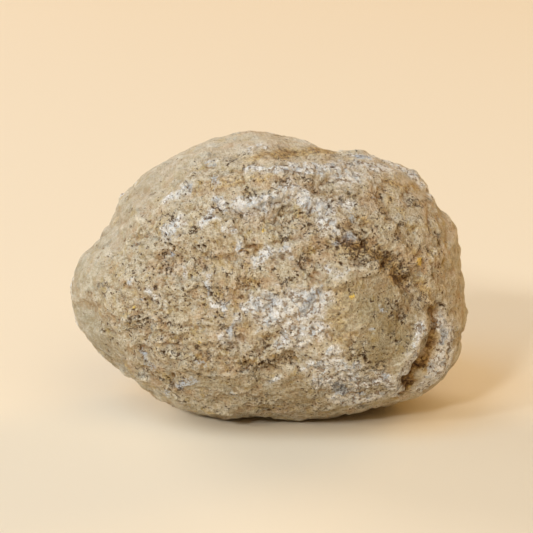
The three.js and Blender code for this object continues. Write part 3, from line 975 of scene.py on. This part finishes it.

# %% [markdown]
# Iron has stained the rock ochre. Its hollows are darker brown, for dirt and for painted shade together,
# and its ridges are rubbed pale.
# Blender's Pointiness could find the hollows, but it looks no further than a point's close neighbours.
# The mesh carries its own measure instead: how far each point lies below the surface with its roughness
# evened out.

# %% Stains: ochre, dirt and painted shade in the hollows, dust on the ridges
stained = ramp(roughened(attribute("ochre"), patchy, 2.0), 0.2, 0.95)
ochre_rock = mix(ramp(grit, 0.4, 0.6), colour(150, 116, 58), colour(206, 174, 98))
ground = mix(times(stained, 0.85), ground, ochre_rock)
hollow_shade_and_dirt = roughened(attribute("hollow"), grit, 0.5)
# painted shade with dirt: darker brown where the surface lies below its neighbours
ground = mix(times(ramp(hollow_shade_and_dirt, 0.04, 0.4), 0.75), ground, colour(146, 110, 64))
ground = mix(times(ramp(times(hollow_shade_and_dirt, -1), 0.04, 0.3), 0.45), ground, colour(233, 228, 210))
shade = mix(ramp(fine, 0.34, 0.64), (0.79, 0.74, 0.67, 1), (1.1, 1.1, 1.1, 1))
ground = mix(attribute("rough"), ground, shade, "MULTIPLY")
shade = mix(ramp(grit, 0.37, 0.62), (0.81, 0.76, 0.69, 1), (1.12, 1.12, 1.12, 1))
ground = mix(attribute("rough"), ground, shade, "MULTIPLY")

# %% [markdown]
# Chalk sits on the rock as grains, with dirt between them. A plain white patch would be simpler, but it
# would look like paint. Cells give each grain its own tone, and the dirt lies where they meet.

# %% Chalk: a dusting round each patch, and grains of white, grey and tan with brown in between
grain = cells(0.85, 1.0)
tone = node("ShaderNodeSeparateColor", {0: grain["Color"]}).outputs[0]
between = ramp(roughened(roughened(grain["Distance"], fine, 1.2), grit, 0.8), 0.56, 0.8)
chalk_here = roughened(roughened(attribute("chalk"), grit, 1.2), patchy, 1.8)
dusted = times(ramp(chalk_here, -0.2, 0.5), 0.35)
is_chalk = ramp(chalk_here, 0.2, 0.7)
chalky = mix(ramp(tone, 0.1, 0.5), colour(236, 231, 218), colour(241, 240, 236))
greyer = ramp(roughened(noise(1.8, 7.0, 3), tone, 0.15), 0.5, 0.66)
chalky = mix(times(greyer, 0.8), chalky, colour(196, 201, 204))
purer = linear(ramp(attribute("chalk"), 1.0, 1.5), -0.6, 0.85)
chalky = mix(times(between, purer), chalky, colour(136, 110, 76))
shade = mix(ramp(fine, 0.35, 0.6), (0.84, 0.8, 0.76, 1), (1.02, 1.02, 1.02, 1))
chalky = mix(1.0, chalky, shade, "MULTIPLY")
rock = mix(dusted, ground, colour(232, 226, 210))
rock = mix(times(is_chalk, 0.95), rock, chalky)

# %% [markdown]
# Here and there a blue-grey mineral shows. It could be a mesh of its own, but it lies in the surface of
# the rock, so it is one more colour where its mask is high. Rust comes after it, because it stains both.

# %% Grey mineral with dark specks, and rust
is_grey = ramp(roughened(attribute("grey"), grit, 2.0), 0.3, 0.8)
greyish = mix(ramp(grit, 0.4, 0.52), colour(74, 78, 86), colour(190, 197, 204))
rock = mix(times(is_grey, 0.75), rock, greyish)
rust = mix(ramp(grit, 0.4, 0.62), colour(92, 64, 36), colour(172, 132, 76))
rock = mix(times(ramp(roughened(attribute("ochre"), patchy, 1.2), 0.75, 1.1), 0.85), rock, rust)

# %% [markdown]
# Specks come in two sizes and two browns, crowded in hollows and sparse on chalk and worn rock. They
# could be spread evenly by one noise, but then they would look like pepper.

# %% Bright grains of ochre, dark specks, the open pits, and painted shadow under the ledges
is_dot = ramp(roughened(roughened(attribute("dots"), grit, 1.6), fine, 1.0), 0.4, 0.7)
rock = mix(times(is_dot, 0.8), rock, colour(234, 198, 92))
crowded = roughened(roughened(noise(5, 8.0, 3), attribute("hollow"), 0.15), attribute("pitted"), 0.2)
crowded = ramp(crowded, 0.25, 0.75)
crowded = math_node("ADD", attribute("rough"), math_node("SUBTRACT", crowded, 1.0))


def crevices(size, seed, most):
    """The lowest parts of soft noise, so ragged dark spots, more of them where crowded is high."""
    depth = math_node("SUBTRACT", 0.35, noise(size, seed, 2, 0.5))
    return ramp(linear(crowded, most, depth), 0.0, 0.03)


plainer = linear(is_chalk, -0.7, 1.0)
small = times(crevices(0.4, 21.0, 0.09), plainer)
off_line = math_node("ABSOLUTE", math_node("SUBTRACT", noise(1.5, 31.0, 3, 0.6), 0.5))
cracks_here = ramp(roughened(attribute("pitted"), patchy, 3.0), 0.5, 0.9)
unworn = math_node("SUBTRACT", attribute("rough"), attribute("worn"))
cracks_here = math_node("MAXIMUM", cracks_here, times(ramp(noise(3.5, 33.0, 3), 0.58, 0.64), unworn))
cracks_here = times(ramp(off_line, 0.035, 0.012), cracks_here)
large = times(math_node("MAXIMUM", crevices(0.8, 22.0, 0.06), cracks_here), plainer)
specks = math_node("MAXIMUM", small, large)
pit_and_shadow_depth = roughened(roughened(attribute("dark"), fine, 1.2), grit, 1.2)
rock = mix(times(small, 0.9), rock, colour(100, 72, 43))
rock = mix(times(large, 0.9), rock, colour(84, 58, 34))
# dark brown in the pits and cracks, and as painted shadow under the ledges and down the groove
rock = mix(times(ramp(pit_and_shadow_depth, 0.1, 0.5), 0.6), rock, colour(129, 96, 55))
pit_and_shadow = ramp(pit_and_shadow_depth, 0.5, 0.8)
rock = mix(times(pit_and_shadow, 0.85), rock, colour(78, 55, 33))

# %% [markdown]
# The last roughness is finer than the mesh's squares. Real height would need many times as many of them,
# and it would be too small to show in the outline, so a bump does as well.

# %% Grain too fine for the mesh, as a bump, and the finished material
height = linear(grit, 0.8, times(fine, 0.3))
height = linear(times(is_chalk, between), -0.2, height)
height = linear(math_node("MAXIMUM", specks, pit_and_shadow), -0.6, height)
bump = node("ShaderNodeBump", {"Height": height, "Strength": 1.0, "Distance": MM})
shader = node("ShaderNodeBsdfPrincipled", {
    "Base Color": rock, "Roughness": 0.95, "Specular IOR Level": 0.15,
    "Sheen Weight": 0.06, "Sheen Roughness": 0.5, "Normal": bump.outputs[0],
})
node("ShaderNodeOutputMaterial", {"Surface": shader.outputs[0]})
mesh.materials.append(material)
print(len(tree.nodes), "nodes in the material")

# %% [markdown]
# ## Floor and light
#
# The floor is plain and pale, and so big that its edge is never seen. Two small lamps, "key" and "side", rake
# across the ledges from the front left, and each throws a shadow of its own. Five wide ones stand for what a
# room adds: a window, the room in front, and walls to the left, the back and the right. One big soft lamp
# would be simpler, but it would flatten the crust and leave hardly any shadow.

# %% Floor, lamps and world
FLOOR_REACH = 4.0
floor_mesh = bpy.data.meshes.new("floor")
corners = [(x * FLOOR_REACH, y * FLOOR_REACH, 0) for x, y in ((-1, -1), (1, -1), (1, 1), (-1, 1))]
floor_mesh.from_pydata(corners, [], [(0, 1, 2, 3)])
floor = added("floor", floor_mesh)
floor_paint = bpy.data.materials.new("floor")
floor_paint.use_nodes = True
sockets = floor_paint.node_tree.nodes["Principled BSDF"].inputs
sockets["Base Color"].default_value = colour(231, 220, 198)
sockets["Roughness"].default_value = 0.9
floor_mesh.materials.append(floor_paint)
floor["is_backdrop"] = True


LAMPS_AWAY = 3.0


def lamp(name, towards, size, power, light_colour):
    """A square lamp, LAMPS_AWAY metres from the stone's heart and facing it."""
    data = bpy.data.lights.new(name, "AREA")
    data.size = size
    data.energy = power
    data.color = light_colour[:3]
    way = unit(np.array(towards, float))
    made = added(name, data)
    made.location = heart * MM + way * LAMPS_AWAY
    made.rotation_euler = Vector(-way).to_track_quat("-Z", "Y").to_euler()


lamp("key", (-0.75, -1.8, 1.0), 0.3, 34, colour(250, 252, 253))
lamp("side", (-1.0, -1.0, 0.7), 0.25, 17, colour(250, 252, 253))
lamp("window", (-0.7, -0.7, 1.2), 1.6, 34, colour(154, 210, 255))
lamp("left wall", (-1.0, 0.0, 0.36), 1.6, 12, colour(246, 248, 250))
lamp("room", (0.38, -0.92, 1.2), 2.2, 31, colour(255, 230, 190))
lamp("back wall", (-0.7, 0.7, 0.36), 1.6, 56, colour(255, 240, 224))
lamp("right wall", (0.7, 0.7, 0.36), 1.6, 38, colour(255, 208, 132))
world = bpy.data.worlds.new("room")
world.use_nodes = True
sockets = world.node_tree.nodes["Background"].inputs
sockets["Color"].default_value = colour(250, 206, 156)
sockets["Strength"].default_value = 0.24
bpy.context.scene.world = world
bpy.context.scene.view_settings.view_transform = "Standard"

# %% [markdown]
# Both boxes are printed, so that the finished stone can be compared with the solid that it stands in
# for.

# %% Print both sizes
low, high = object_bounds()
sizes = {"solid": [solid_low, solid_high], "finished": [low, high]}
sizes = {name: [[float(side) for side in corner] for corner in box] for name, box in sizes.items()}
print({name: [[round(side / MM, 2) for side in corner] for corner in box] for name, box in sizes.items()})
